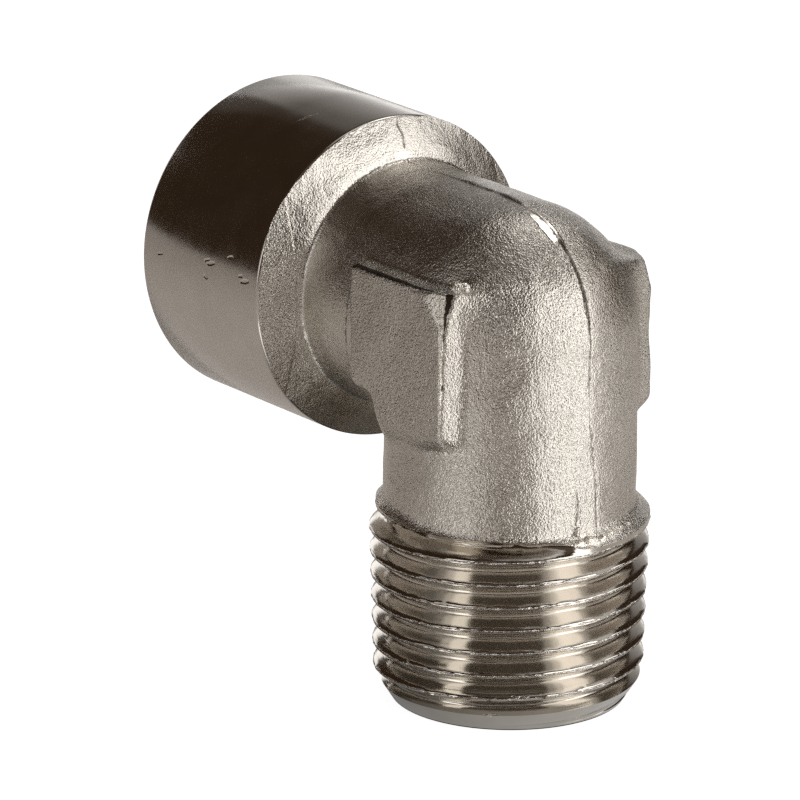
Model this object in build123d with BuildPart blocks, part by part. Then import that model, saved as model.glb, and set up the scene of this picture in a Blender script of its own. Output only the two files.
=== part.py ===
"""Street elbow for 1/2 in pipe: a forged brass bend with a taper male thread below and a female socket at the side.

The origin is the centre of the male end face, +Z runs up the male axis, and the female socket opens toward -X.
Lengths are in millimetres.
"""

import math
import os

from build123d import *

# The two axes cross at this height over the male end face.
centre_h = 29.5
mouth_x = 30.9  # crossing to the female mouth face

# Forged pipe: neck, bend and leg share one outside radius.
pipe_r = 9.6

# Collar of the female socket.
collar_r = 12.7
collar_back_x = 15.45  # crossing to the back edge of the turned collar
collar_mouth_chamfer = 0.3
shoulder_land = 0.3  # rounded land at the outer edge of the forged shoulder
shoulder_foot_x = 13.95  # crossing to the foot of the conical shoulder
shoulder_foot_r = 10.1
shoulder_fillet = 0.6

# Male taper thread, R 1/2: crest cone at 1 in 16, 14 turns to the inch.
gauge_r = 20.955 / 2
gauge_length = 7.0
taper = 1 / 32  # radius per length
end_face_r = 8.98
end_chamfer_slope = 0.64  # radius per length
thread_top_z = 14.4
thread_shoulder_z = 16.0

# Female parallel thread, G 1/2: the minor diameter is bored through.
socket_minor_r = 18.631 / 2
socket_mouth_r = 10.6
socket_depth = 15.0

# Waterway drilled from both ends, and the points that the drills leave.
water_r = 7.0
drill_half_angle = 59.0
drill_past = 1.0  # full diameter past the crossing
male_bore_chamfer = 0.5

# Spanner pads, one on each side of the bend.
pad_y = 10.05
pad_foot_y = 5.5
pad_outline = [  # x and height over the crossing, with the draft of the side that starts there
    ((-7.1, 4.5), 6.0),
    ((1.85, 4.5), None),
    ((4.25, 2.1), 18.0),
    ((4.25, -6.9), 40.0),
    ((-3.3, -6.9), 20.0),
    ((-7.1, -1.7), 15.0),
]
pad_corner_offset = 2.8  # how far the bevelled corner spreads down to the foot
pad_edge_round = 0.3

# Trimmed flash along the parting plane.
flash_half_width = 0.7
flash_height = 0.18

crotch_fillet = 1.2


def drafted(outline):
    """The outline at the foot of a drafted pad: each side moves out by its own draft, and neighbours meet again."""
    depth = pad_y - pad_foot_y
    count = len(outline)
    sides = []
    for i, ((x0, z0), angle) in enumerate(outline):
        x1, z1 = outline[(i + 1) % count][0]
        run = math.hypot(x1 - x0, z1 - z0)
        nx, nz = -(z1 - z0) / run, (x1 - x0) / run
        out = pad_corner_offset if angle is None else depth * math.tan(math.radians(angle))
        sides.append((nx, nz, nx * x0 + nz * z0 + out))
    foot = []
    for i in range(count):
        a, b, c = sides[i - 1]
        d, e, f = sides[i]
        det = a * e - b * d
        foot.append(((c * e - b * f) / det, (a * f - c * d) / det))
    return foot


crest_r_at_end = gauge_r - gauge_length * taper
chamfer_top_z = (crest_r_at_end - end_face_r) / (end_chamfer_slope - taper)
chamfer_top_r = end_face_r + end_chamfer_slope * chamfer_top_z
thread_top_r = crest_r_at_end + thread_top_z * taper
tip = 1 / math.tan(math.radians(drill_half_angle))

male_axis = Axis((0, 0, 0), (0, 0, 1))
female_axis = Axis((0, 0, centre_h), (1, 0, 0))
pad_plane = Plane.XZ.offset(pad_y)
foot_plane = Plane.XZ.offset(pad_foot_y)

with BuildPart() as elbow:
    # Leg, thread blank, end chamfer and shoulder, turned about the male axis.
    with BuildSketch(Plane.XZ) as leg_section:
        with BuildLine():
            Polyline(
                (0, 0),
                (end_face_r, 0),
                (chamfer_top_r, chamfer_top_z),
                (thread_top_r, thread_top_z),
                (pipe_r, thread_shoulder_z),
                (pipe_r, centre_h),
                (0, centre_h),
                close=True,
            )
        make_face()
    revolve(axis=male_axis)

    # Neck, conical forged shoulder and turned collar about the female axis.
    with BuildSketch(Plane.XZ) as collar_section:
        with BuildLine():
            Polyline(
                (0, centre_h),
                (0, centre_h + pipe_r),
                (-shoulder_foot_x + 0.35, centre_h + pipe_r),
                (-shoulder_foot_x, centre_h + shoulder_foot_r),
                (-collar_back_x + 0.12, centre_h + collar_r - shoulder_land),
                (-collar_back_x - 0.2, centre_h + collar_r),
                (-mouth_x + collar_mouth_chamfer, centre_h + collar_r),
                (-mouth_x, centre_h + collar_r - collar_mouth_chamfer),
                (-mouth_x, centre_h),
                close=True,
            )
        make_face()
    revolve(axis=female_axis)

    # Ball corner of the bend: a quarter ball between the ends of neck and leg.
    with BuildSketch(Plane.XY.offset(centre_h)) as ball_section:
        with BuildLine():
            CenterArc((0, 0), pipe_r, -90, 180)
            Line((0, pipe_r), (0, -pipe_r))
        make_face()
    revolve(axis=Axis((0, 0, centre_h), (0, -1, 0)), revolution_arc=90)

    # Spanner pads: drafted walls around a flat, bevelled at the upper outer corner.
    with BuildSketch(pad_plane):
        with BuildLine():
            Polyline(*[(x, z + centre_h) for (x, z), _ in pad_outline], close=True)
        make_face()
    with BuildSketch(foot_plane):
        with BuildLine():
            Polyline(*[(x, z + centre_h) for x, z in drafted(pad_outline)], close=True)
        make_face()
    pad = loft(ruled=True)
    mirror(pad, about=Plane.XZ)

    # Forged roundings: the edges of the pad flats, the inside of the bend and the foot of the shoulder.
    flats = elbow.faces().filter_by(Plane.XZ).filter_by(lambda f: abs(abs(f.center().Y) - pad_y) < 1e-3)
    fillet(flats.edges(), pad_edge_round)
    inside = elbow.edges().filter_by(lambda e: (e @ 0.5 - Vector(-pipe_r, 0, centre_h - pipe_r)).length < 1e-3)
    fillet(inside, crotch_fillet)
    foot_ring = elbow.edges().filter_by(GeomType.CIRCLE).filter_by(
        lambda e: abs(e.radius - pipe_r) < 1e-3 and abs(e.arc_center.X + shoulder_foot_x - 0.35) < 1e-3
    )
    fillet(foot_ring, shoulder_fillet)

    # Flash left on the parting plane where the forging was trimmed, from the collar over the bend to the thread.
    reach = pipe_r + flash_height
    with BuildSketch(Plane.XZ) as flash_section:
        with BuildLine():
            Polyline(
                (-collar_back_x, centre_h + collar_r - 0.5),
                (-collar_back_x + 0.35, centre_h + collar_r - 0.4),
                (-shoulder_foot_x + 0.25, centre_h + shoulder_foot_r + 0.1),
                (-shoulder_foot_x + 0.55, centre_h + reach),
                (0, centre_h + reach),
                (0, centre_h - reach),
                (-shoulder_foot_x + 0.55, centre_h - reach),
                (-shoulder_foot_x + 0.25, centre_h - shoulder_foot_r - 0.1),
                (-collar_back_x + 0.35, centre_h - collar_r + 0.4),
                (-collar_back_x, centre_h - collar_r + 0.5),
                close=True,
            )
        make_face()
        with Locations((0, centre_h)):
            Circle(reach)
        with Locations((0, (centre_h + thread_shoulder_z - 0.3) / 2)):
            Rectangle(2 * reach, centre_h - thread_shoulder_z + 0.3)
    extrude(amount=flash_half_width, both=True)

    # Female socket: mouth chamfer, bore at the thread's minor diameter and the slope that the drill leaves,
    # then the waterway to just past the crossing.
    socket_end_x = -mouth_x + socket_depth
    with BuildSketch(Plane.XZ) as socket_section:
        with BuildLine():
            Polyline(
                (-mouth_x - 0.01, centre_h),
                (-mouth_x - 0.01, centre_h + socket_mouth_r),
                (-mouth_x, centre_h + socket_mouth_r),
                (-mouth_x + socket_mouth_r - socket_minor_r, centre_h + socket_minor_r),
                (socket_end_x, centre_h + socket_minor_r),
                (socket_end_x + (socket_minor_r - water_r) * tip, centre_h + water_r),
                (drill_past, centre_h + water_r),
                (drill_past + water_r * tip, centre_h),
                close=True,
            )
        make_face()
    revolve(axis=female_axis, mode=Mode.SUBTRACT)

    # Waterway up the leg, drilled from the male end.
    with BuildSketch(Plane.XZ) as water_section:
        with BuildLine():
            Polyline(
                (0, -0.01),
                (water_r + male_bore_chamfer, -0.01),
                (water_r + male_bore_chamfer, 0),
                (water_r, male_bore_chamfer),
                (water_r, centre_h + drill_past),
                (0, centre_h + drill_past + water_r * tip),
                close=True,
            )
        make_face()
    revolve(axis=male_axis, mode=Mode.SUBTRACT)

elbow.part.label = "elbow_body"
os.makedirs("parts", exist_ok=True)
export_step(elbow.part, "parts/elbow_body.step")
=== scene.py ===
import math

import bmesh
import bpy
import numpy as np
from mathutils import Matrix, Vector


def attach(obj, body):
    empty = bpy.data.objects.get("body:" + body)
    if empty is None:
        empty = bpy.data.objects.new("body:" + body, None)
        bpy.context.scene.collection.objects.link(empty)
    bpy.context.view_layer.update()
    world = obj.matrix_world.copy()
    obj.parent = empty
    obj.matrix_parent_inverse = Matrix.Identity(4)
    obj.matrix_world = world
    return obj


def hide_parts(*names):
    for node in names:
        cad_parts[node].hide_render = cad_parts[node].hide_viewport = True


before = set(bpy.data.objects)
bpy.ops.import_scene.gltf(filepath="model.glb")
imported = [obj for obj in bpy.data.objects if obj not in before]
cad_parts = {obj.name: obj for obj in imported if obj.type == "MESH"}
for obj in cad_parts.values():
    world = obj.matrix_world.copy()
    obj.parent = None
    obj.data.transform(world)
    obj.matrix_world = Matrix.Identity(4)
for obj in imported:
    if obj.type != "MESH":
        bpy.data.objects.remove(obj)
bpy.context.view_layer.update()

MM = 0.001

# ---------------------------------------------------------------- sizes, in millimetres
H = 29.5            # the two axes cross at this height over the male end face
MOUTH = 30.9        # crossing to the female mouth
COLLAR_R = 12.7
COLLAR_BACK = 15.45
NECK_R, LEG_R, BALL_R = 9.5, 9.63, 9.55
PITCH = 25.4 / 14
DEPTH = 0.640327 * PITCH
GAUGE_R, GAUGE_L = 20.955 / 2, 7.0
MINOR_R = 18.631 / 2
WATER_R = 7.0
PAD_Y = 10.05
CREST_PHASE = math.radians(-126.4)   # bearing where a crest is at CREST_Z
CREST_Z = 13.38

rng = np.random.default_rng(20)


# ---------------------------------------------------------------- small numeric tools
def smoothstep(a, b, x):
    t = np.clip((x - a) / (b - a), 0, 1)
    return t * t * (3 - 2 * t)


def smin(a, b, k):
    h = np.maximum(k - np.abs(a - b), 0) / k
    return np.minimum(a, b) - h * h * k * 0.25


def smax(a, b, k):
    return -smin(-a, -b, k)


class Waves:
    """A smooth random field: a sum of sine waves with random directions, around one length scale."""

    def __init__(self, length, count=14, spread=0.5):
        d = rng.normal(size=(count, 3))
        d /= np.linalg.norm(d, axis=1)[:, None]
        f = 2 * np.pi / (length * rng.uniform(1 - spread, 1 + spread, count))
        self.k = d * f[:, None]
        self.p = rng.uniform(0, 2 * np.pi, count)
        self.a = math.sqrt(2.0 / count)

    def __call__(self, x, y, z):
        out = np.zeros_like(x)
        for k, p in zip(self.k, self.p):
            out += np.sin(k[0] * x + k[1] * y + k[2] * z + p)
        return out * self.a


def noise_1d(points, length, seed):
    """Smooth random values along a line, at the points given, with bumps about that long."""
    g = np.random.default_rng(seed)
    lo, hi = points.min(), points.max()
    n = max(4, int((hi - lo) / length) + 4)
    return np.interp(points, np.linspace(lo - length, hi + length, n), g.normal(size=n))


def polygon_distance(u, v, pts):
    """Signed distance from points (u, v) to a closed polygon, negative inside."""
    d2 = np.full(u.shape, 1e9, u.dtype)
    inside = np.zeros(u.shape, bool)
    n = len(pts)
    for i in range(n):
        ax, ay = pts[i]
        bx, by = pts[(i + 1) % n]
        ex, ey = bx - ax, by - ay
        wx, wy = u - ax, v - ay
        t = np.clip((wx * ex + wy * ey) / (ex * ex + ey * ey), 0, 1)
        d2 = np.minimum(d2, (wx - ex * t) ** 2 + (wy - ey * t) ** 2)
        crosses = ((ay <= v) & (by > v)) | ((by <= v) & (ay > v))
        if ey != 0:
            inside ^= crosses & (u < ax + (v - ay) / ey * ex)
    return np.where(inside, -np.sqrt(d2), np.sqrt(d2))


# ---------------------------------------------------------------- the forging, as a distance field
wave_long = Waves(7.0)
wave_mid = Waves(2.2)
wave_short = Waves(0.9, 20)

# Conical shoulder behind the collar, drawn as distance from the crossing and radius; rounded by the amount below.
SHOULDER_ROUND = 0.12
SHOULDER = [
    (-33.0, -1.0),
    (-33.0, 13.18),
    (-15.868, 13.18),
    (-14.045, 9.937),
    (-13.85, 9.0),
    (-13.6, 7.0),
    (-13.6, -1.0),
]
# Boss that the male thread is cut from: radius and height over the end face.
BOSS_ROUND = 0.1
BOSS = [
    (-1.0, -1.5),
    (11.3, -1.5),
    (11.3, 14.55),
    (10.30 - BOSS_ROUND, 15.42),
    (9.62 - BOSS_ROUND, 15.98),
    (8.5, 16.6),
    (-1.0, 16.6),
]


# Along the flash, from the collar over the bend to the thread, by the angle round the crossing:
# where the crease lies across the parting plane, how deep it is, and how high the flash stands.
SEAM = np.array([
    [-180, -120, -90, -55, -45, -30, -15, 0, 15, 30, 50, 62, 75, 84, 100, 118, 131, 145, 180],
    [0.0, 0.0, 0.80, 0.78, 0.60, 0.0, 0.0, 0.0, 0.05, 0.04, 0.02, 0.12, 0.0, 0.0, 0.30, 0.42, 0.18, 0.25, 0.25],
    [0.0, 0.0, 0.12, 0.12, 0.08, 0.03, 0.06, 0.12, 0.18, 0.20, 0.18, 0.03, 0.04, 0.06, 0.06, 0.06, 0.05, 0.08, 0.08],
    [0.04, 0.05, 0.28, 0.28, 0.26, 0.24, 0.24, 0.25, 0.25, 0.24, 0.20, 0.17, 0.13, 0.11, 0.11, 0.11, 0.08, 0.05, 0.05],
])


def plane(x, y, z, point, normal):
    n = np.array(normal, float)
    n /= np.linalg.norm(n)
    return (x - point[0]) * n[0] + (y - point[1]) * n[1] + (z - point[2]) * n[2]


def drafted(nx, nz, deg):
    c, s = math.cos(math.radians(deg)), math.sin(math.radians(deg))
    m = math.hypot(nx, nz)
    return (nx / m * c, s, nz / m * c)


def pad(x, s, z, corner):
    """One spanner pad. s is the distance from the parting plane; corner shifts the sunk upper outer corner of the flat."""
    right = plane(x, s, z, (4.42, PAD_Y, 0), drafted(1, 0, 17))
    top = plane(x, s, z, (0, PAD_Y, 4.58), drafted(0, 1, 3))
    neck_part = smax(
        plane(x, s, z, (-7.05, PAD_Y, 0), drafted(-1, 0, 10)), plane(x, s, z, (0, PAD_Y, -4.8), drafted(0, -1, 22)), 1.0
    )
    leg_part = smax(
        plane(x, s, z, (-4.45, PAD_Y, 0), drafted(-1, 0, 16)), plane(x, s, z, (0, PAD_Y, -7.2), drafted(0, -1, 60)), 2.2
    )
    d = smin(neck_part, leg_part, 0.8)
    d = smax(d, right, 0.35)
    d = smax(d, top, 0.35)
    d = smax(d, plane(x, s, z, (0, PAD_Y, 0), (0, 1, 0)), 0.30)
    d = smax(d, plane(x, s, z, (4.42, PAD_Y, -6.75), (0.35, 0.45, -0.82)), 0.6)
    tilt = math.radians(27)
    sunk = plane(x, s, z, (1.85 + corner, PAD_Y, 4.45), (math.sin(tilt) * 0.76, math.cos(tilt), math.sin(tilt) * 0.65))
    d = smax(d, sunk, 0.08)
    return smax(d, 4.0 - s, 0.2)


def capsule(x, y, z, a, b, ra, rb):
    a, b = np.array(a, float), np.array(b, float)
    e = b - a
    t = np.clip(((x - a[0]) * e[0] + (y - a[1]) * e[1] + (z - a[2]) * e[2]) / (e @ e), 0, 1)
    d = np.sqrt((x - a[0] - e[0] * t) ** 2 + (y - a[1] - e[1] * t) ** 2 + (z - a[2] - e[2] * t) ** 2)
    return d - (ra + (rb - ra) * t)


FOLD = [
    ((4.62, -9.22, 4.8), 0.42), ((4.58, -9.48, 3.4), 0.28), ((4.50, -9.76, 1.7), 0.16),
    ((4.50, -9.86, -3.3), 0.09), ((4.50, -9.90, -6.2), 0.04),
]


def forging(x, y, z):
    """Distance to the forged blank; z is height over the male end face."""
    w = z - H
    rx = np.sqrt(y * y + w * w)
    rz = np.sqrt(x * x + y * y)
    neck_r = NECK_R + (BALL_R - NECK_R) * smoothstep(-5, 0, x)
    leg_r = LEG_R + (BALL_R - LEG_R) * smoothstep(-5, 0, w)
    neck = np.maximum(rx - neck_r, x)
    leg = np.maximum(rz - leg_r, w)
    ball = np.sqrt(x * x + y * y + w * w) - BALL_R
    inner = smoothstep(2.0, 9.0, -x) * smoothstep(2.0, 9.0, -w)
    d = smin(neck, leg, 0.02 + 3.2 * inner)
    d = np.minimum(d, ball)
    # trimmed flash on the parting plane; the two halves of the die were a little out of line, so one edge is a crease
    along = np.degrees(np.arctan2(w, x))
    seam = np.interp(along, SEAM[0], SEAM[1])
    sink = np.interp(along, SEAM[0], SEAM[2])
    rise = np.interp(along, SEAM[0], SEAM[3])
    other = smoothstep(68, 84, along)
    edge = smoothstep(seam - 0.12 - 0.14 * other, seam + 0.1 + 0.12 * other, y)
    ridge = rise * (
        (1 - other) * np.clip((y + 2.4) / (seam + 2.4), 0, 1) ** 1.6 * (1 - edge)
        + other * np.clip((2.6 + seam - y) / 2.6, 0, 1) ** 1.6 * edge
    )
    crease = sink * np.exp(-(((y - seam - 0.06 + 0.12 * other) / 0.14) ** 2))
    crease = crease + 0.07 * smoothstep(-38, -52, along) * np.exp(-(((y + 0.95) / 0.16) ** 2)) * (x > 0)
    lively = 1.0 + 0.22 * np.sin(along * 0.21 + 0.7) + 0.14 * np.sin(along * 0.53)
    d = d - (ridge - crease) * lively * (1 - smoothstep(15.1, 15.8, -x))
    # a spot on the bend where the flash was dressed flat
    d = smax(d, plane(x, y, w, (4.307, 0.0, 8.502), (0.452, -0.05, 0.891)), 0.02)
    pad_near = pad(x, -y, w, 0.0)
    pad_far = pad(x, y, w, 0.25)
    d = smin(d, np.minimum(pad_near, pad_far), 0.35 + 1.1 * smoothstep(0.5, 4.0, w) * smoothstep(3.0, 4.6, x))
    d = smin(d, polygon_distance(x, rx, SHOULDER) - SHOULDER_ROUND, 0.34)
    bearing = np.degrees(np.arctan2(y, x))
    drop = np.interp(bearing, [-180, -126, -95, -62, -36, -10, 20, 53, 100, 150, 180], [0.0, 0.0, 0.3, 0.68, 0.72, 0.7, 0.58, 0.42, 0.3, 0.1, 0.0])
    boss = polygon_distance(rz, z + drop, BOSS) - BOSS_ROUND
    d = smin(d, boss, 0.25)
    # fold along the outer edge of the near pad, open at its upper corner, with a knob of metal over it
    d = smin(d, capsule(x, y, w, (4.72, -8.8, 5.2), (5.15, -8.3, 5.25), 0.48, 0.40), 0.12)
    fold = None
    for (p, rp), (q, rq) in zip(FOLD, FOLD[1:]):
        piece = capsule(x, y, w, p, q, rp, rq)
        fold = piece if fold is None else np.minimum(fold, piece)
    d = smax(d, -fold, 0.06)
    # torn flash where the thread tool ran out
    for a, b, ra, rb in (
        ((9.95, -1.75, 14.72), (10.1, -0.9, 14.85), 0.16, 0.30),
        ((10.2, -0.3, 14.95), (10.25, 0.5, 14.85), 0.32, 0.26),
        ((10.2, 1.1, 14.9), (9.85, 2.6, 15.05), 0.28, 0.2),
        ((9.75, 2.9, 15.1), (9.2, 4.6, 15.25), 0.18, 0.1),
        ((9.75, -1.05, 15.4), (9.8, -0.95, 16.0), 0.2, 0.12),
    ):
        d = smin(d, capsule(x, y, z, a, b, ra, rb), 0.18)
    d = np.maximum(np.maximum(d, -32.0 - x), -1.2 - z)
    soft = 0.03 * wave_long(x, y, z) + 0.010 * wave_mid(x, y, z) + 0.004 * wave_short(x, y, z)
    return d + soft


def surface_nets(fn, lo, hi, step):
    """Vertices and quads of the zero surface of fn on a grid, each vertex then pulled onto the surface itself."""
    ax = [np.arange(a, b + step, step, dtype=np.float32) for a, b in zip(lo, hi)]
    shape = [len(a) for a in ax]
    f = np.empty(shape, np.float32)
    for i0 in range(0, shape[0], 24):
        gx, gy, gz = np.meshgrid(ax[0][i0 : i0 + 24], ax[1], ax[2], indexing="ij")
        f[i0 : i0 + 24] = fn(gx, gy, gz)
    neg = f < 0
    count = np.zeros([n - 1 for n in shape], np.int8)
    for i in (0, 1):
        for j in (0, 1):
            for k in (0, 1):
                count += neg[i : shape[0] - 1 + i, j : shape[1] - 1 + j, k : shape[2] - 1 + k]
    active = (count > 0) & (count < 8)
    ids = np.full(active.shape, -1, np.int64)
    ci, cj, ck = np.nonzero(active)
    ids[ci, cj, ck] = np.arange(len(ci))
    total = np.zeros((len(ci), 3))
    hits = np.zeros(len(ci))
    corners = [(i, j, k) for i in (0, 1) for j in (0, 1) for k in (0, 1)]
    for a in corners:
        for axis in range(3):
            if a[axis]:
                continue
            b = list(a)
            b[axis] = 1
            fa = f[ci + a[0], cj + a[1], ck + a[2]].astype(float)
            fb = f[ci + b[0], cj + b[1], ck + b[2]].astype(float)
            cross = (fa < 0) != (fb < 0)
            t = np.where(cross, fa / np.where(fa == fb, 1, fa - fb), 0)
            p = np.stack([np.full(len(ci), float(a[q])) for q in range(3)], 1)
            p[:, axis] += t
            total += p * cross[:, None]
            hits += cross
    verts = total / hits[:, None] + np.stack([ci, cj, ck], 1)
    verts = verts * step + np.array([a[0] for a in ax])
    quads = []
    for axis in range(3):
        o1, o2 = [(1, 2), (2, 0), (0, 1)][axis]
        lo_s = [slice(None)] * 3
        hi_s = [slice(None)] * 3
        lo_s[axis], hi_s[axis] = slice(0, -1), slice(1, None)
        for o in (o1, o2):
            lo_s[o] = hi_s[o] = slice(1, -1)
        a, b = neg[tuple(lo_s)], neg[tuple(hi_s)]
        e = np.argwhere(a != b)
        flip = b[e[:, 0], e[:, 1], e[:, 2]]
        base = e.copy()
        base[:, o1] += 1
        base[:, o2] += 1
        ring = []
        for d1, d2 in ((-1, -1), (0, -1), (0, 0), (-1, 0)):
            c = base.copy()
            c[:, o1] += d1
            c[:, o2] += d2
            ring.append(ids[c[:, 0], c[:, 1], c[:, 2]])
        q = np.stack(ring, 1)
        q[flip] = q[flip][:, ::-1]
        quads.append(q)
    quads = np.concatenate(quads)
    return settle(fn, verts, step), quads


def settle(fn, verts, reach):
    """Pull points onto the zero surface of fn."""
    for _ in range(3):
        x, y, z = verts.T
        e = 0.015
        d = fn(x, y, z)
        g = np.stack([
            (fn(x + e, y, z) - fn(x - e, y, z)) / (2 * e),
            (fn(x, y + e, z) - fn(x, y - e, z)) / (2 * e),
            (fn(x, y, z + e) - fn(x, y, z - e)) / (2 * e),
        ], 1)
        g2 = np.maximum((g * g).sum(1), 0.25)
        verts = verts - np.clip(d / g2, -reach * 0.5, reach * 0.5)[:, None] * g
    return verts


def refine(ob, fn, inside, cuts, reach):
    """Split the faces of a mesh inside a region, and pull the new points onto the surface."""
    bm = bmesh.new()
    bm.from_mesh(ob.data)
    co = np.array([v.co[:] for v in bm.verts]) / MM
    pick = inside(*co.T)
    edges = [e for e in bm.edges if pick[e.verts[0].index] and pick[e.verts[1].index]]
    bmesh.ops.subdivide_edges(bm, edges=edges, cuts=cuts, use_grid_fill=True)
    bm.verts.index_update()
    co = np.array([v.co[:] for v in bm.verts]) / MM
    near = inside(*co.T)
    co[near] = settle(fn, co[near], reach)
    for v, p in zip(bm.verts, co * MM):
        v.co = p
    bm.to_mesh(ob.data)
    bm.free()
    ob.data.update()


def mesh_object(name, verts, faces, material):
    me = bpy.data.meshes.new(name)
    me.from_pydata((np.asarray(verts) * MM).tolist(), [], [list(map(int, f)) for f in faces])
    me.materials.append(material)
    me.update()
    ob = bpy.data.objects.new(name, me)
    bpy.context.scene.collection.objects.link(ob)
    return ob


# ---------------------------------------------------------------- cutting tools
def turned(points, axis, segments=256):
    """A closed solid of revolution from (along, radius) points, first and last on the axis. axis is 'x' or 'z'."""
    pts = np.array(points, float)
    a = np.linspace(0, 2 * np.pi, segments, endpoint=False)
    verts, faces, rings = [], [], []
    for along, r in pts:
        if r < 1e-9:
            rings.append([len(verts)])
            verts.append((along, 0, 0))
        else:
            rings.append(list(range(len(verts), len(verts) + segments)))
            verts.extend(zip(np.full(segments, along), r * np.cos(a), r * np.sin(a)))
    for p, q in zip(rings, rings[1:]):
        for i in range(segments):
            j = (i + 1) % segments
            if len(p) == 1:
                faces.append((p[0], q[j], q[i]))
            elif len(q) == 1:
                faces.append((p[i], p[j], q[0]))
            else:
                faces.append((p[i], p[j], q[j], q[i]))
    v = np.array(verts)
    if axis == "x":
        v = v + np.array([0, 0, H])
    else:
        v = v[:, [1, 2, 0]]
    return v, faces


def tube(points, axis, segments=256):
    """A closed ring from a closed (along, radius) outline that stays off the axis."""
    pts = np.array(points, float)
    a = np.linspace(0, 2 * np.pi, segments, endpoint=False)
    n = len(pts)
    v = np.stack([
        np.repeat(pts[:, 0], segments),
        (pts[:, 1][:, None] * np.cos(a)).ravel(),
        (pts[:, 1][:, None] * np.sin(a)).ravel(),
    ], 1)
    faces = []
    for p in range(n):
        q = (p + 1) % n
        for i in range(segments):
            j = (i + 1) % segments
            faces.append((p * segments + i, p * segments + j, q * segments + j, q * segments + i))
    if axis == "x":
        v = v + np.array([0, 0, H])
    else:
        v = v[:, [1, 2, 0]]
    return v, faces


def thread_form(phase):
    """Depth below the crest, as a share of the full depth, of a rounded 55 degree thread; crests at whole phases."""
    w = np.abs(phase - np.round(phase)) * PITCH
    d = (w * 1.921 - 0.2904) / DEPTH
    d = smax(d, np.zeros_like(d), 0.16)
    return smin(d, np.ones_like(d), 0.16)


ROWS = np.array([0.0, 0.055, 0.10, 0.19, 0.30, 0.39, 0.445, 0.5, 0.555, 0.61, 0.70, 0.81, 0.90, 0.945])


def spiral(radius, phase0, along0, turns, steps, far, hand=1):
    """A closed solid whose one wall follows a helix. radius(along, bearing, turn) gives that wall, far is the other wall's radius.

    Rows run along the helix, so that crests and roots stay sharp. A row that has gone round once meets the row one turn on.
    Returned as (along, cos, sin) places, first coordinate along the axis.
    """
    per = len(ROWS)
    rows = (np.arange(turns + 1)[:, None] + ROWS[None]).ravel()[: turns * per + 1]
    n = len(rows)
    bearings = np.linspace(0, 2 * np.pi, steps + 1)
    th, rw = np.meshgrid(bearings, rows)
    along = along0 + PITCH * (rw + (th - phase0) / (2 * np.pi) * hand)
    r = radius(along, th, rw)
    wall = np.stack([along, r * np.cos(th), r * np.sin(th)], -1)
    back = np.stack([along, far * np.cos(th), far * np.sin(th)], -1)
    ids = np.empty((n, steps + 1), int)
    ids[:, :steps] = np.arange(n * steps).reshape(n, steps)
    verts = [wall[:, :steps].reshape(-1, 3)]
    extra = []
    for i in range(n):
        if i + per < n:
            ids[i, steps] = ids[i + per, 0]
        else:
            ids[i, steps] = n * steps + len(extra)
            extra.append(i)
    verts.append(wall[extra, steps])
    total = n * steps + len(extra)
    verts.append(back[:, :steps].reshape(-1, 3))
    verts.append(back[extra, steps])
    v = np.concatenate(verts)
    faces = []
    a = ids[:-1, :-1].ravel(); b = ids[:-1, 1:].ravel(); c = ids[1:, 1:].ravel(); d = ids[1:, :-1].ravel()
    front = np.stack([a, b, c, d], 1)
    faces.append(front[:, ::-1])
    faces.append(front + total)
    # rims: the free edges of the sheet join the two walls
    edges = np.concatenate([front[:, [0, 1]], front[:, [1, 2]], front[:, [2, 3]], front[:, [3, 0]]])
    key = {}
    for p, q in edges:
        key[(int(p), int(q))] = True
    free = [(p, q) for p, q in key if (q, p) not in key]
    faces.append(np.array([(p, q, q + total, p + total) for p, q in free]))
    return v, np.concatenate(faces)


def cut(body, verts, faces, material, name):
    tool = mesh_object(name, verts, faces, material)
    me = tool.data
    # outward faces, whichever way the outline ran
    co = np.empty(len(me.vertices) * 3)
    me.vertices.foreach_get("co", co)
    me.calc_loop_triangles()
    tri = np.empty(len(me.loop_triangles) * 3, np.int32)
    me.loop_triangles.foreach_get("vertices", tri)
    p = co.reshape(-1, 3)[tri.reshape(-1, 3)]
    if np.einsum("ij,ij->i", p[:, 0], np.cross(p[:, 1], p[:, 2])).sum() < 0:
        me.flip_normals()
    mod = body.modifiers.new("cut", "BOOLEAN")
    mod.operation = "DIFFERENCE"
    mod.solver = "MANIFOLD"
    mod.material_mode = "TRANSFER"
    mod.object = tool
    dg = bpy.context.evaluated_depsgraph_get()
    dg.update()
    out = bpy.data.meshes.new_from_object(body.evaluated_get(dg))
    body.modifiers.clear()
    old = body.data
    body.data = out
    bpy.data.meshes.remove(old)
    bpy.data.objects.remove(tool)
    print("cut", name, len(out.polygons))


# ---------------------------------------------------------------- materials
def new_material(name):
    m = bpy.data.materials.new(name)
    m.use_nodes = True
    nt = m.node_tree
    nt.nodes.clear()
    out = nt.nodes.new("ShaderNodeOutputMaterial")
    bsdf = nt.nodes.new("ShaderNodeBsdfPrincipled")
    nt.links.new(bsdf.outputs[0], out.inputs[0])
    bsdf.inputs["Metallic"].default_value = 1.0
    return m, nt, bsdf


def noise(nt, vector, scale, detail=2.0, rough=0.5, distortion=0.0):
    n = nt.nodes.new("ShaderNodeTexNoise")
    n.inputs["Scale"].default_value = scale
    n.inputs["Detail"].default_value = detail
    n.inputs["Roughness"].default_value = rough
    n.inputs["Distortion"].default_value = distortion
    nt.links.new(vector, n.inputs["Vector"])
    return n.outputs["Fac"]


def ramp(nt, value, lo, hi, to_lo, to_hi):
    n = nt.nodes.new("ShaderNodeMapRange")
    for k, v in (("From Min", lo), ("From Max", hi), ("To Min", to_lo), ("To Max", to_hi)):
        n.inputs[k].default_value = v
    nt.links.new(value, n.inputs["Value"])
    return n.outputs["Result"]


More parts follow.
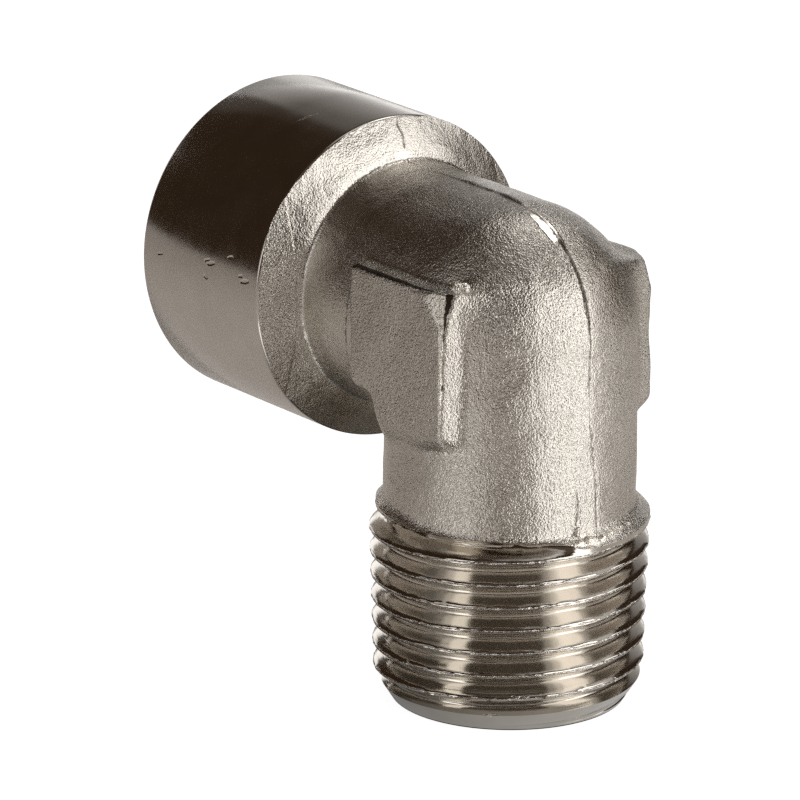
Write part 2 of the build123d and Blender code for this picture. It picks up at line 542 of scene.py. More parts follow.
def math_node(nt, op, a, b=None):
    n = nt.nodes.new("ShaderNodeMath")
    n.operation = op
    for i, v in enumerate((a, b)):
        if v is None:
            continue
        if isinstance(v, (int, float)):
            n.inputs[i].default_value = v
        else:
            nt.links.new(v, n.inputs[i])
    return n.outputs[0]


def mix_colour(nt, fac, a, b):
    n = nt.nodes.new("ShaderNodeMix")
    n.data_type = "RGBA"
    n.inputs[6].default_value = (*a, 1)
    n.inputs[7].default_value = (*b, 1)
    nt.links.new(fac, n.inputs[0])
    return n.outputs[2]


def bump(nt, height, strength, distance, under=None):
    n = nt.nodes.new("ShaderNodeBump")
    n.inputs["Strength"].default_value = strength
    n.inputs["Distance"].default_value = distance
    nt.links.new(height, n.inputs["Height"])
    if under is not None:
        nt.links.new(under, n.inputs["Normal"])
    return n.outputs[0]


def coords(nt):
    t = nt.nodes.new("ShaderNodeTexCoord")
    return t.outputs["Object"]


def axes(nt, vector):
    s = nt.nodes.new("ShaderNodeSeparateXYZ")
    nt.links.new(vector, s.inputs[0])
    return s.outputs


def pack_vector(nt, x, y, z=None):
    c = nt.nodes.new("ShaderNodeCombineXYZ")
    for i, v in enumerate((x, y, z)):
        if v is not None:
            nt.links.new(v, c.inputs[i])
    return c.outputs[0]


def near(nt, vector, centre, inner, outer):
    """1 within the inner distance of a point, 0 past the outer one."""
    n = nt.nodes.new("ShaderNodeVectorMath")
    n.operation = "DISTANCE"
    nt.links.new(vector, n.inputs[0])
    n.inputs[1].default_value = tuple(c * MM for c in centre)
    return ramp(nt, n.outputs["Value"], inner * MM, outer * MM, 1, 0)


def line_distance(nt, vector, lines):
    """Distance from a set of lines, less their own half widths. Each line is a list of (point, half width) in millimetres."""
    best = None
    for line in lines:
        for (a, ra), (b, rb) in zip(line, line[1:]):
            a = np.array(a, float) * MM
            e = np.array(b, float) * MM - a
            off = nt.nodes.new("ShaderNodeVectorMath")
            off.operation = "SUBTRACT"
            nt.links.new(vector, off.inputs[0])
            off.inputs[1].default_value = tuple(a)
            dot = nt.nodes.new("ShaderNodeVectorMath")
            dot.operation = "DOT_PRODUCT"
            nt.links.new(off.outputs[0], dot.inputs[0])
            dot.inputs[1].default_value = tuple(e / (e @ e))
            t = ramp(nt, dot.outputs["Value"], 0, 1, 0, 1)
            on = nt.nodes.new("ShaderNodeVectorMath")
            on.operation = "SCALE"
            on.inputs[0].default_value = tuple(e)
            nt.links.new(t, on.inputs["Scale"])
            gap = nt.nodes.new("ShaderNodeVectorMath")
            gap.operation = "DISTANCE"
            nt.links.new(off.outputs[0], gap.inputs[0])
            nt.links.new(on.outputs[0], gap.inputs[1])
            d = math_node(nt, "SUBTRACT", gap.outputs["Value"], ramp(nt, t, 0, 1, ra * MM, rb * MM))
            best = d if best is None else math_node(nt, "MINIMUM", best, d)
    return best


# Lines of painted shade along the folds and creases of the forging's skin: points with their half widths.
CREASE_SHADE_LINES = [
    [((-7.0, -9.64, H + 4.52), 0.27), ((-4.9, -9.68, H + 4.56), 0.25), ((-2.2, -9.76, H + 4.6), 0.22), ((1.1, -9.62, H + 4.56), 0.16), ((2.9, -9.3, H + 4.5), 0.06)],
    [((4.29, -9.08, H + 4.55), 0.26), ((4.33, -9.22, H + 3.95), 0.18), ((4.36, -9.52, H + 3.0), 0.07), ((4.38, -9.70, H + 0.95), -0.02)],
    [((4.43, -9.84, H - 2.2), 0.02), ((4.43, -9.84, H - 2.5), 0.06)],
]
# Finer creases, painted with a lighter shade.
FINE_CREASE_SHADE = [
    [((-8.0, -9.3, H + 2.2), -0.03), ((-8.05, -9.41, H + 1.41), 0.0), ((-8.05, -9.50, H + 0.4), 0.015), ((-8.39, -9.34, H - 1.61), 0.015), ((-9.09, -8.54, H - 4.14), -0.02)],
    [((-15.3, 0.42, H + 12.45), 0.0), ((-15.0, 0.28, H + 12.0), 0.03), ((-14.6, 0.52, H + 11.25), 0.03), ((-14.2, 0.33, H + 10.5), 0.05)],
    [((-8.16, 0.16, H + 9.5), -0.06), ((-4.98, 0.40, H + 9.48), -0.02), ((-1.68, 0.28, H + 9.5), 0.0), ((0.95, -0.04, H + 9.5), 0.0), ((2.5, -0.04, H + 9.28), -0.02)],
    [((5.59, 0.21, H + 7.70), 0.05), ((6.81, 0.22, H + 6.59), 0.09), ((7.72, 0.28, H + 5.48), 0.10), ((8.48, 0.29, H + 4.26), 0.09),
     ((9.03, 0.26, H + 2.92), 0.06), ((9.39, 0.20, H + 1.16), 0.01), ((9.54, 0.14, H - 2.22), -0.05)],
    [((9.60, -0.98, H - 10.8), -0.04), ((9.63, -0.92, H - 12.2), 0.0), ((9.62, -1.10, H - 13.4), 0.03)],
    [((9.55, 0.84, H - 10.2), -0.02), ((9.62, 0.80, H - 11.7), 0.04), ((9.62, 0.90, H - 13.2), 0.05)],
]
# Edges and lumps painted pale: partly rubbed wear, partly painted highlight where they catch the light.
WORN_AND_HIGHLIT = [
    [((4.10, -9.45, H + 4.35), 0.06), ((4.30, -9.98, H + 2.4), 0.05), ((4.36, -10.0, H - 1.5), 0.02), ((4.36, -10.0, H - 6.2), 0.0)],
    [((-13.95, -0.5, H + 9.92), 0.16), ((-13.92, 0.2, H + 9.96), 0.2), ((-13.9, 0.7, H + 9.9), 0.12)],
    [((4.55, -9.1, H + 5.3), 0.35), ((5.2, -8.4, H + 5.5), 0.35)],
    [((9.9, -1.9, 14.8), 0.3), ((10.4, 0.4, 15.0), 0.42), ((10.1, 2.0, 15.15), 0.4), ((9.4, 4.3, 15.3), 0.25)],
]


def forged_material():
    m, nt, b = new_material("forged_nickel")
    p = coords(nt)
    x, y, z = axes(nt, p)
    grain = noise(nt, p, 7000, 1.0, 0.6)
    lumps = noise(nt, p, 2800, 0.0, 0.5)
    height = math_node(nt, "ADD", grain, math_node(nt, "MULTIPLY", lumps, 0.42))
    # the shoulder has coarser streaks that run out from the neck, and a flatter grain; the pad flats a stronger one
    up = math_node(nt, "SUBTRACT", z, H * MM)
    turn = math_node(nt, "MULTIPLY", math_node(nt, "ARCTAN2", y, up), 0.0115)
    out = math_node(nt, "MULTIPLY", math_node(nt, "SQRT", math_node(nt, "ADD", math_node(nt, "POWER", y, 2.0), math_node(nt, "POWER", up, 2.0))), 0.3)
    streaks = noise(nt, pack_vector(nt, turn, out, x), 2600, 2.0, 0.6)
    on_ring = ramp(nt, x, -14.3 * MM, -13.9 * MM, 1, 0)
    share = ramp(nt, x, -10 * MM, -2 * MM, 0.48, 1.0)
    flat = ramp(nt, math_node(nt, "ABSOLUTE", y), 9.9 * MM, 10.02 * MM, 0, 0.5)
    share = math_node(nt, "ADD", share, flat)
    height = math_node(nt, "ADD", math_node(nt, "MULTIPLY", height, share), math_node(nt, "MULTIPLY", math_node(nt, "MULTIPLY", streaks, on_ring), 0.42))
    ragged = ramp(nt, noise(nt, p, 1500, 2.0, 0.6), 0.3, 0.7, -0.3, 0.3)
    dressed = math_node(nt, "ADD", near(nt, p, (4.25, 0.0, H + 8.55), 1.6, 2.6), ragged)
    stripe = ramp(nt, math_node(nt, "ABSOLUTE", math_node(nt, "ADD", y, 0.12 * MM)), 0.42 * MM, 0.68 * MM, 1, 0)
    dressed = ramp(nt, math_node(nt, "MULTIPLY", dressed, stripe), 0.35, 0.75, 0, 0.85)
    height = math_node(nt, "MULTIPLY", height, math_node(nt, "SUBTRACT", 1.0, dressed))
    nt.links.new(bump(nt, height, 1.0, 0.000075), b.inputs["Normal"])
    patch = noise(nt, p, 260, 3.0, 0.6)
    colour = nt.nodes.new("ShaderNodeMix")
    colour.data_type = "RGBA"
    frayed = ramp(nt, noise(nt, p, 2600, 2.0, 0.6), 0.25, 0.75, -0.09 * MM, 0.09 * MM)
    # paler base colour along edges and lumps: rubbed wear and painted highlight
    worn_and_highlit = ramp(nt, math_node(nt, "ADD", line_distance(nt, p, WORN_AND_HIGHLIT), frayed), 0.0, 0.12 * MM, 1, 0)
    # painted highlight: the sunk corner facet of the near pad is painted pale, as if lit
    facet_highlight = math_node(nt, "MULTIPLY", near(nt, p, (3.5, -9.6, H + 3.4), 1.05, 1.5), ramp(nt, y, -9.98 * MM, -9.94 * MM, 0, 0.8))
    worn_and_highlit = math_node(nt, "MAXIMUM", worn_and_highlit, facet_highlight)
    pale = nt.nodes.new("ShaderNodeMix")
    pale.data_type = "RGBA"
    nt.links.new(worn_and_highlit, pale.inputs[0])
    nt.links.new(mix_colour(nt, ramp(nt, patch, 0.35, 0.65, 0, 1), (0.635, 0.595, 0.535), (0.685, 0.645, 0.585)), pale.inputs[6])
    pale.inputs[7].default_value = (0.95, 0.90, 0.81, 1)
    # painted shade: the lower half of the ring face and the bend on the +Y side of the seam are painted dark brown
    low = math_node(nt, "MULTIPLY", on_ring, ramp(nt, z, (H - 6) * MM, (H + 6) * MM, 0.62, 0))
    dome_shade = math_node(nt, "MULTIPLY", near(nt, p, (8.6, 4.2, H + 4.6), 1.0, 5.5), ramp(nt, y, 0.2 * MM, 1.4 * MM, 0, 0.8))
    painted_shade_mix = nt.nodes.new("ShaderNodeMix")
    painted_shade_mix.data_type = "RGBA"
    nt.links.new(math_node(nt, "MAXIMUM", low, dome_shade), painted_shade_mix.inputs[0])
    nt.links.new(pale.outputs[2], painted_shade_mix.inputs[6])
    painted_shade_mix.inputs[7].default_value = (0.30, 0.255, 0.20, 1)
    nt.links.new(painted_shade_mix.outputs[2], colour.inputs[6])
    # painted shade: near black along the fold and crease lines, and a little rougher there
    crease_shade = ramp(nt, math_node(nt, "ADD", line_distance(nt, p, CREASE_SHADE_LINES), frayed), 0.0, 0.10 * MM, 1, 0)
    # painted shade, lighter, along the finer creases
    thin = ramp(nt, math_node(nt, "ADD", line_distance(nt, p, FINE_CREASE_SHADE), frayed), 0.0, 0.12 * MM, 0.7, 0)
    crease_shade = math_node(nt, "MAXIMUM", crease_shade, thin)
    nt.links.new(crease_shade, colour.inputs[0])
    colour.inputs[7].default_value = (0.05, 0.036, 0.026, 1)
    nt.links.new(colour.outputs[2], b.inputs["Base Color"])
    rough = ramp(nt, patch, 0.3, 0.7, 0.25, 0.31)
    rough = math_node(nt, "ADD", rough, math_node(nt, "MULTIPLY", crease_shade, 0.25))
    nt.links.new(math_node(nt, "SUBTRACT", rough, math_node(nt, "MULTIPLY", dressed, 0.06)), b.inputs["Roughness"])
    return m


def mark(m, lines, depth, bright, fray, fade=0.06):
    """Nicks and scratches: lines pressed into a material, paler than the metal around them."""
    nt = m.node_tree
    b = next(n for n in nt.nodes if n.type == "BSDF_PRINCIPLED")
    p = coords(nt)
    frayed = ramp(nt, noise(nt, p, 3000, 2.0, 0.6), 0.25, 0.75, -fray * MM, fray * MM)
    on = ramp(nt, math_node(nt, "ADD", line_distance(nt, p, lines), frayed), 0.0, fade * MM, 1, 0)
    old = b.inputs["Normal"].links[0].from_socket
    nt.links.new(bump(nt, math_node(nt, "SUBTRACT", 1.0, on), 1.0, depth, old), b.inputs["Normal"])
    mix = nt.nodes.new("ShaderNodeMix")
    mix.data_type = "RGBA"
    nt.links.new(on, mix.inputs[0])
    nt.links.new(b.inputs["Base Color"].links[0].from_socket, mix.inputs[6])
    mix.inputs[7].default_value = (*bright, 1)
    nt.links.new(mix.outputs[2], b.inputs["Base Color"])


def turned_material(name, axis, base, rough, lines, depth):
    m, nt, b = new_material(name)
    p = coords(nt)
    x, y, z = axes(nt, p)
    if axis == "x":
        radius = math_node(nt, "SQRT", math_node(nt, "ADD", math_node(nt, "POWER", y, 2.0), math_node(nt, "POWER", math_node(nt, "SUBTRACT", z, H * MM), 2.0)))
        along = x
    else:
        radius = math_node(nt, "SQRT", math_node(nt, "ADD", math_node(nt, "POWER", x, 2.0), math_node(nt, "POWER", y, 2.0)))
        along = z
    ring = pack_vector(nt, radius, along)
    fine = noise(nt, ring, lines, 2.0, 0.6)
    smear = noise(nt, p, 420, 3.0, 0.6)
    nt.links.new(bump(nt, fine, 1.0, depth), b.inputs["Normal"])
    dark = tuple(c * 0.93 for c in base)
    nt.links.new(mix_colour(nt, ramp(nt, smear, 0.35, 0.65, 0, 1), dark, base), b.inputs["Base Color"])
    nt.links.new(ramp(nt, smear, 0.3, 0.7, rough * 0.85, rough * 1.2), b.inputs["Roughness"])
    return m


FORGED = forged_material()
TURNED = turned_material("turned_nickel", "x", (0.66, 0.62, 0.565), 0.17, 9000, 0.0000035)
THREAD = turned_material("thread_nickel", "z", (0.66, 0.615, 0.55), 0.13, 7600, 0.000009)


def burr_crests_and_highlight(m):
    """Torn metal along the crests of the male thread: a narrow helical band that is rough and lumpy, and painted pale
    as a painted highlight.
    """
    nt = m.node_tree
    b = next(n for n in nt.nodes if n.type == "BSDF_PRINCIPLED")
    p = coords(nt)
    x, y, z = axes(nt, p)
    turn = math_node(nt, "DIVIDE", math_node(nt, "ARCTAN2", y, x), 2 * math.pi)
    rise = math_node(nt, "DIVIDE", math_node(nt, "SUBTRACT", z, CREST_Z * MM), PITCH * MM)
    phase = math_node(nt, "SUBTRACT", rise, math_node(nt, "SUBTRACT", turn, CREST_PHASE / (2 * math.pi)))
    away = math_node(nt, "ABSOLUTE", math_node(nt, "SUBTRACT", phase, math_node(nt, "ROUND", phase)))
    torn = noise(nt, p, 1500, 2.0, 0.6)
    edge = math_node(nt, "ADD", away, ramp(nt, torn, 0.3, 0.7, 0.05, -0.03))
    crest = ramp(nt, edge, 0.018, 0.045, 1, 0)
    crest = math_node(nt, "MULTIPLY", crest, ramp(nt, z, 1.2 * MM, 1.9 * MM, 0, 1))
    lumps = noise(nt, p, 5200, 2.0, 0.7)
    old = b.inputs["Normal"].links[0].from_socket
    nt.links.new(bump(nt, math_node(nt, "MULTIPLY", lumps, crest), 1.0, 0.00012, old), b.inputs["Normal"])
    # painted highlight: the crest band is painted pale
    base = b.inputs["Base Color"].links[0].from_socket
    mix = nt.nodes.new("ShaderNodeMix")
    mix.data_type = "RGBA"
    nt.links.new(crest, mix.inputs[0])
    nt.links.new(base, mix.inputs[6])
    mix.inputs[7].default_value = (0.80, 0.77, 0.72, 1)
    nt.links.new(mix.outputs[2], b.inputs["Base Color"])
    rough = b.inputs["Roughness"].links[0].from_socket
    nt.links.new(math_node(nt, "ADD", rough, math_node(nt, "MULTIPLY", crest, 0.14)), b.inputs["Roughness"])


burr_crests_and_highlight(THREAD)
mark(TURNED, [
    [((-22.05, -12.598, H + 1.53), 0.03), ((-21.6, -12.594, H + 1.64), 0.10), ((-21.15, -12.58, H + 1.75), 0.03)],
    [((-22.4, -12.588, H + 1.72), 0.01), ((-21.85, -12.57, H + 1.88), 0.04)],
    [((-22.4, -12.69, H + 0.52), 0.05), ((-22.0, -12.695, H + 0.40), 0.04)],
    [((-17.5, -12.648, H + 1.16), 0.03), ((-17.05, -12.637, H + 1.27), 0.11), ((-16.6, -12.625, H + 1.38), 0.04)],
    [((-17.85, -12.615, H + 1.50), 0.03), ((-17.45, -12.605, H + 1.60), 0.04)],
    [((-28.6, -12.675, H + 0.80), 0.02), ((-28.1, -12.667, H + 0.93), 0.02)],
    [((-19.5, -12.44, H + 2.56), 0.02), ((-19.0, -12.41, H + 2.68), 0.04)],
], 0.00005, (0.74, 0.70, 0.64), 0.04, 0.12)
mark(TURNED, [
    [((-21.3, -4.9, H + 11.72), -0.02), ((-21.1, -3.9, H + 12.09), 0.0), ((-20.7, -2.9, H + 12.37), -0.02)],
    [((-21.0, -4.5, H + 11.88), -0.02), ((-20.9, -3.6, H + 12.18), 0.0), ((-20.6, -3.1, H + 12.32), -0.02)],
    [((-24.6, -10.1, H + 7.70), -0.03), ((-24.2, -10.2, H + 7.56), 0.01), ((-23.6, -10.4, H + 7.29), -0.03)],
], 0.000012, (0.62, 0.58, 0.525), 0.04)
mark(THREAD, [
    [((10.5, 1.7, 12.6), 0.02), ((10.2, 2.6, 11.7), 0.02)],
    [((10.4, 1.9, 10.8), 0.02), ((10.1, 2.8, 9.9), 0.02)],
    [((10.35, 2.1, 9.0), 0.02), ((10.05, 3.0, 8.1), 0.02)],
    [((10.3, 2.3, 7.2), 0.02), ((9.95, 3.2, 6.3), 0.02)],
    [((9.95, 3.0, 5.2), 0.10), ((9.9, 3.25, 5.1), 0.05)],
    [((10.06, 2.6, 3.25), 0.12), ((10.0, 2.9, 3.1), 0.05)],
    [((8.3, -6.0, 3.2), 0.05), ((8.75, -5.4, 3.0), 0.10), ((9.1, -4.7, 3.05), 0.03)],
    [((6.6, -7.3, 1.5), 0.03), ((7.0, -6.9, 1.45), 0.10), ((7.4, -6.4, 1.6), 0.02)],
], 0.00006, (0.84, 0.81, 0.76), 0.06, 0.04)
BORE = turned_material("bore_nickel", "x", (0.58, 0.54, 0.48), 0.24, 7000, 0.000006)

# ---------------------------------------------------------------- the elbow
STEP = 0.26
v, f = surface_nets(forging, (-32.6, -14.2, -2.6), (12.4, 14.2, 43.8), STEP)
body = mesh_object("elbow", v, f, FORGED)
refine(body, forging, lambda x, y, z: (np.abs(y - 0.1) < 1.5) & (x > -15.2) & (z > 14.2) & ((x > 7) | (z > H + 7)), 1, 0.2)
refine(body, forging, lambda x, y, z: (x > 2.6) & (x < 5.6) & (y < -8.0) & (z > H - 6.6) & (z < H + 5.9), 2, 0.15)
print("forging", len(f))

# collar turned on the outside, faced and edged at the mouth
v, f = turned([
    (-MOUTH, 0), (-MOUTH, COLLAR_R - 0.35), (-MOUTH + 0.12, COLLAR_R - 0.12), (-MOUTH + 0.35, COLLAR_R),
    (-23.0, COLLAR_R), (-17.6, COLLAR_R), (-16.9, COLLAR_R), (-16.3, COLLAR_R), (-15.9, COLLAR_R),
    (-15.606, 12.70), (-15.520, 12.685), (-15.445, 12.642), (-15.380, 12.566), (-11.0, 15.03), (-11.0, 17), (-34.5, 17), (-34.5, 0.0),
], "x", 320)
cut(body, v, f, TURNED, "collar_tool")

# male thread
burr = rng.normal(size=4096)


def male_wall(along, th, rw):
    phase = (along - CREST_Z) / PITCH - (th - CREST_PHASE) / (2 * np.pi)
    crest = GAUGE_R + (along - GAUGE_L) / 32
    bearing = (np.degrees(th) + 180) % 360 - 180
    # above the last turn: a turned lip on the collar side, that goes over into a slope on the far side
    lip = np.interp(along, [14.3, 14.55, 15.6, 15.7], [10.75, 10.2, 10.2, 10.24])
    slope = np.interp(along, [14.4, 14.6], [10.72, 11.6])
    turn = smoothstep(-55, 12, bearing) * (1 - smoothstep(120, 175, bearing))
    crest = np.minimum(crest, lip + (slope - lip) * turn)
    depth = thread_form(phase)
    groove_z = CREST_Z + PITCH * ((th - CREST_PHASE) / (2 * np.pi) + np.floor(phase) + 0.5)
    keep = 1 - smoothstep(14.81, 14.92, groove_z)
    path = (np.round(phase) * 2 * np.pi + th) * 10.5
    rough = noise_1d(path.ravel(), 0.34, 5).reshape(path.shape) * 0.022 + noise_1d(path.ravel(), 1.4, 6).reshape(path.shape) * 0.012
    rough = np.where(np.abs(phase - np.round(phase)) < 0.08, rough, 0)
    notch = 0.3 * np.exp(-(((bearing + 33) / 1.9) ** 2) - ((along - 15.1) / 0.28) ** 2)
    return crest - DEPTH * depth * keep + rough - notch


v, f = spiral(male_wall, CREST_PHASE, CREST_Z - 10 * PITCH, 12, 200, 12.9)
cut(body, v[:, [1, 2, 0]], f, THREAD, "male_thread_tool")

# male end: face and chamfer
v, f = tube([(-3, 4), (0.0, 4), (0.0, 8.94), (0.03, 8.98), (3.4, 8.98 + 0.64 * 3.37), (3.4, 16), (-3, 16)], "z", 256)
cut(body, v, f, THREAD, "end_tool")
v, f = turned([(0.0, 0), (0.0, 4.5), (-3, 4.5), (-3, 0)], "z", 64)
cut(body, v, f, THREAD, "end_face_tool")

# socket, its thread and the waterway
tip = 1 / math.tan(math.radians(59))
v, f = turned([
    (-34, 0), (-34, 10.6), (-MOUTH, 10.6), (-MOUTH + 10.6 - MINOR_R, MINOR_R), (-MOUTH + 15.0, MINOR_R),
    (-MOUTH + 15.0 + (MINOR_R - WATER_R) * tip, WATER_R), (1.0, WATER_R), (1.0 + WATER_R * tip, 0),
], "x", 192)
cut(body, v, f, BORE, "socket_tool")


def female_wall(along, th, rw):
    phase = (along + 24.0) / PITCH - th / (2 * np.pi)
    fade = 1 - smoothstep(-18.6, -17.2, along)
    return MINOR_R - 0.12 + (DEPTH + 0.12) * (1 - thread_form(phase)) * fade


v, f = spiral(female_wall, 0.0, -24.0 - 5 * PITCH, 9, 110, 5.0)
cut(body, v + np.array([0, 0, H]), f, BORE, "female_thread_tool")
v, f = turned([
    (-2, 0), (-2, WATER_R + 2.5), (0.5, WATER_R), (H + 1.0, WATER_R), (H + 1.0 + WATER_R * tip, 0),
], "z", 160)
cut(body, v, f, BORE, "waterway_tool")

me = body.data
for poly_attr in ("sharp_face",):
    if poly_attr in me.attributes:
        me.attributes.remove(me.attributes[poly_attr])
me.shade_smooth()
me.set_sharp_from_angle(angle=math.radians(38))
# a turned face meets the forged skin in a crisp edge
loop_edge = np.empty(len(me.loops), np.int32)
me.loops.foreach_get("edge_index", loop_edge)
size = np.empty(len(me.polygons), np.int32)
me.polygons.foreach_get("loop_total", size)
mat = np.empty(len(me.polygons), np.int32)
me.polygons.foreach_get("material_index", mat)
low = np.full(len(me.edges), 99)
high = np.full(len(me.edges), -1)
np.minimum.at(low, loop_edge, np.repeat(mat, size))
np.maximum.at(high, loop_edge, np.repeat(mat, size))
sharp = me.attributes["sharp_edge"]
flags = np.empty(len(me.edges), bool)
sharp.data.foreach_get("value", flags)
sharp.data.foreach_set("value", flags | (low != high))
me.update()
me.calc_loop_triangles()
print("triangles", len(me.loop_triangles), "materials", [m.name for m in me.materials])

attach(body, "root")
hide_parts("elbow_body")

# ---------------------------------------------------------------- stage
def plain(name, colour, glow):
    m = bpy.data.materials.new(name)
    m.use_nodes = True
    b = m.node_tree.nodes["Principled BSDF"]
    b.inputs["Base Color"].default_value = (*colour, 1)
    b.inputs["Roughness"].default_value = 0.9
    b.inputs["Specular IOR Level"].default_value = 0.0
    b.inputs["Emission Color"].default_value = (1, 1, 1, 1)
    b.inputs["Emission Strength"].default_value = glow
    return m


def staged(name, verts, faces, material, camera_only):
    me = bpy.data.meshes.new(name)
    me.from_pydata(verts, [], faces)
    me.materials.append(material)
    ob = bpy.data.objects.new(name, me)
    bpy.context.scene.collection.objects.link(ob)
    if camera_only:
        ob.visible_diffuse = ob.visible_glossy = ob.visible_transmission = False
        ob.visible_volume_scatter = ob.visible_shadow = False
    else:
        ob.visible_camera = False
    return ob


def square(half, z, cx=0.0, cy=0.0):
    return [(cx - half, cy - half, z), (cx + half, cy - half, z), (cx + half, cy + half, z), (cx - half, cy + half, z)]


# White floor and white room as the camera sees them; a grey table top as the metal sees it.
staged("floor", square(1.4, 0.0), [(0, 1, 2, 3)], plain("floor_white", (0.2, 0.2, 0.2), 0.95), True)
table_top = plain("table_grey", (0.5, 0.5, 0.5), 0.0)
nt = table_top.node_tree
far = nt.nodes.new("ShaderNodeVectorMath")
far.operation = "LENGTH"
nt.links.new(coords(nt), far.inputs[0])
# painted shade on the table top: darker close to the elbow and at a spot in front of it, as the elbow's shadow there;
# darker again past about 7 cm
nt.links.new(
    mix_colour(
        nt,
        math_node(
            nt, "SUBTRACT",
            math_node(
                nt, "SUBTRACT", ramp(nt, far.outputs["Value"], 0.014, 0.042, 0, 1), ramp(nt, far.outputs["Value"], 0.07, 0.16, 0, 0.24)
            ),
            math_node(nt, "MULTIPLY", near(nt, coords(nt), (16, -18, 0), 10, 34), 0.5),
        ),
        (0.12, 0.108, 0.094), (0.52, 0.49, 0.46),
    ),
    nt.nodes["Principled BSDF"].inputs["Base Color"],
)
staged("table", square(0.34, -0.0002), [(0, 1, 2, 3)], table_top, False)


def fan(name, start, end, radiance, inner=0.0126, outer=0.30):
    """A strip of light on the table, between two bearings from +X toward +Y, seen in the metal only."""
    n = 48 if end - start > 180 else 6
    arc = [math.radians(start + (end - start) * i / n) for i in range(n + 1)]
    verts = [(r * math.cos(t), r * math.sin(t), 0.0001) for r in (max(inner, 0.00002), outer) for t in arc]
    faces = [(i, i + n + 1, i + n + 2, i + 1) for i in range(n)]
    ob = staged(name, verts, faces, plain(name + "_glow", (0, 0, 0), radiance), False)
    ob.visible_diffuse = ob.visible_shadow = False
    return ob


rings, around = 12, 48
dome = [(0, 0, 1.4)]
for i in range(1, rings + 1):
    for j in range(around):
        e, t = math.pi / 2 * (1 - i / rings), 2 * math.pi * j / around
        dome.append((1.4 * math.cos(e) * math.cos(t), 1.4 * math.cos(e) * math.sin(t), 1.4 * math.sin(e)))
dome_faces = [(0, 1 + (j + 1) % around, 1 + j) for j in range(around)]
for i in range(rings - 1):
    for j in range(around):
        p, q = 1 + i * around, 1 + (i + 1) * around
        k = (j + 1) % around
        dome_faces.append((p + j, p + k, q + k, q + j))
staged("backdrop", dome, dome_faces, plain("backdrop_white", (0.0, 0.0, 0.0), 1.05), True)


def box(name, azimuth, elevation, distance, wide, high, radiance, colour=(1, 1, 1), mirrored=True):
    """A soft box. Its bearing is counted from +X toward +Y; wide and high are the angles it covers, in degrees."""
    a, e = math.radians(azimuth), math.radians(elevation)
    d = Vector((math.cos(a) * math.cos(e), math.sin(a) * math.cos(e), math.sin(e)))
    light = bpy.data.lights.new(name, "AREA")
    light.shape = "RECTANGLE"
    light.size = 2 * distance * math.tan(math.radians(wide / 2))
    light.size_y = 2 * distance * math.tan(math.radians(high / 2))
    light.energy = radiance * math.pi * light.size * light.size_y
    light.color = colour
    ob = bpy.data.objects.new(name, light)
    bpy.context.scene.collection.objects.link(ob)
    ob.location = Vector((-0.005, 0, 0.025)) + d * distance
    ob.rotation_mode = "QUATERNION"
    ob.rotation_quaternion = (-d).to_track_quat("-Z", "Y")
    ob.visible_camera = False
    ob.visible_glossy = mirrored
    return ob


def down_light(name, x, y, z, size, radiance):
    """A light that falls on the floor only and doesn't show in the metal."""
    light = bpy.data.lights.new(name, "AREA")
    light.shape = "SQUARE"
    light.size = size
    light.energy = radiance * math.pi * size * size
    ob = bpy.data.objects.new(name, light)
    bpy.context.scene.collection.objects.link(ob)
    ob.location = (x, y, z)
    ob.visible_camera = ob.visible_glossy = False
    return ob


box("right_box", 15, 18, 0.5, 44, 44, 2.0)
box("right_side_box", 55, 27, 0.55, 32, 26, 1.6)
box("left_box", 266, 18, 0.6, 50, 46, 0.4)
box("left_box_core", 281, 18, 0.58, 20, 40, 0.8)
box("top_box", 104, 62, 0.7, 56, 38, 0.56)
box("overhead", 98, 86, 0.75, 34, 18, 0.42)
box("top_spot", 111, 58, 0.65, 16, 14, 3.0)
for i, (low, high, glow) in enumerate((
    (-9, 4, 1.1), (4, 10, 0.58), (10, 16, 0.34), (16, 21, 0.26), (21, 26, 0.19), (26, 31, 0.12), (31, 36, 0.09), (36, 42, 0.05),
)):
    box("back_wall_%d" % i, 135, (low + high) / 2, 0.6, 42, high - low, glow)
    box("back_wall_end_%d" % i, 161, (low + high) / 2, 0.6, 10, high - low, 0.15 * glow)
box("back_low", 168, 2, 0.6, 24, 18, 1.2)
box("front_haze", 320, 55, 0.7, 50, 40, 0.06, (1, 0.85, 0.7))
down_light("table_light", 0.0, 0.0, 0.8, 0.8, 1.95)
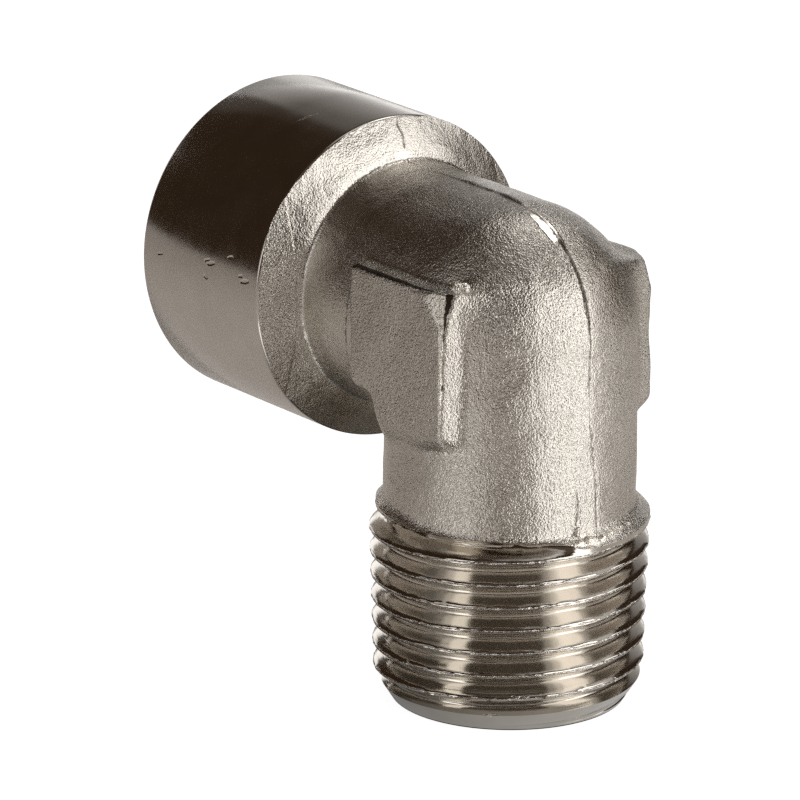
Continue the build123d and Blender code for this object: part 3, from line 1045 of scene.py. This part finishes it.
for i, (t0, t1, glow, start, stop) in enumerate((
    (-10, -4, 0.6, 0.0135, 0.3), (-4, 2, 1.25, 0.0135, 0.3), (2, 14, 2.1, 0.0135, 0.3), (14, 23, 2.0, 0.0135, 0.3), (23, 30, 0.7, 0.0135, 0.3),
    (30, 40, 0.8, 0.08, 0.3), (60, 80, 1.9, 0.1, 0.165), (80, 88, 0.45, 0.05, 0.3),
    (250, 262, 0.2, 0.02, 0.05), (262, 270, 0.4, 0.02, 0.05), (270, 278, 0.95, 0.017, 0.055), (278, 291, 1.75, 0.0135, 0.06),
)):
    fan("strip_%d" % i, t0, t1, glow, start, stop)
# light that comes up to the chamfer of the male end, stronger toward the right
under = fan("under", 0, 360, 0.4, 0.0, 0.0132)
nt = under.data.materials[0].node_tree
side = nt.nodes.new("ShaderNodeVectorMath")
side.operation = "DOT_PRODUCT"
nt.links.new(coords(nt), side.inputs[0])
side.inputs[1].default_value = (math.cos(math.radians(38)), math.sin(math.radians(38)), 0)
nt.links.new(ramp(nt, side.outputs["Value"], -0.009, 0.0115, 0.19, 0.58), nt.nodes["Principled BSDF"].inputs["Emission Strength"])

world = bpy.data.worlds.new("studio")
bpy.context.scene.world = world
world.use_nodes = True
bg = world.node_tree.nodes["Background"]
bg.inputs["Color"].default_value = (0.032, 0.019, 0.011, 1)
bg.inputs["Strength"].default_value = 1.0

# ---------------------------------------------------------------- camera, from the fitted view
AZ, EL, ROLL = (math.radians(a) for a in (53.5625, 17.1822, 0.3191))
FIT = 0.998
back = Vector((math.sin(AZ) * math.cos(EL), -math.cos(AZ) * math.cos(EL), math.sin(EL)))
right = Vector((math.cos(AZ), math.sin(AZ), 0))
up = back.cross(right)
r2 = math.cos(ROLL) * right + math.sin(ROLL) * up
u2 = -math.sin(ROLL) * right + math.cos(ROLL) * up
D, F = 519.215 * FIT, 6862.385
ox, oy = (511.418 - 400) * D / F, -(322.070 - 400) * D / F
place = back * D - r2 * ox - u2 * oy + Vector((0, 0, H))
cam_data = bpy.data.cameras.new("camera")
cam_data.sensor_width = 36
cam_data.lens = F * 36 / 800
cam_data.clip_start, cam_data.clip_end = 0.01, 50
cam = bpy.data.objects.new("camera", cam_data)
bpy.context.scene.collection.objects.link(cam)
rot = Matrix((r2, u2, back)).transposed()
cam.matrix_world = Matrix.Translation(place * MM) @ rot.to_4x4()
bpy.context.scene.camera = cam

scene = bpy.context.scene
scene.cycles.use_denoising = False
scene.view_settings.view_transform = "Standard"
scene.view_settings.look = "None"
scene.view_settings.exposure = 0.0
scene.view_settings.gamma = 1.0

bpy.context.view_layer.update()
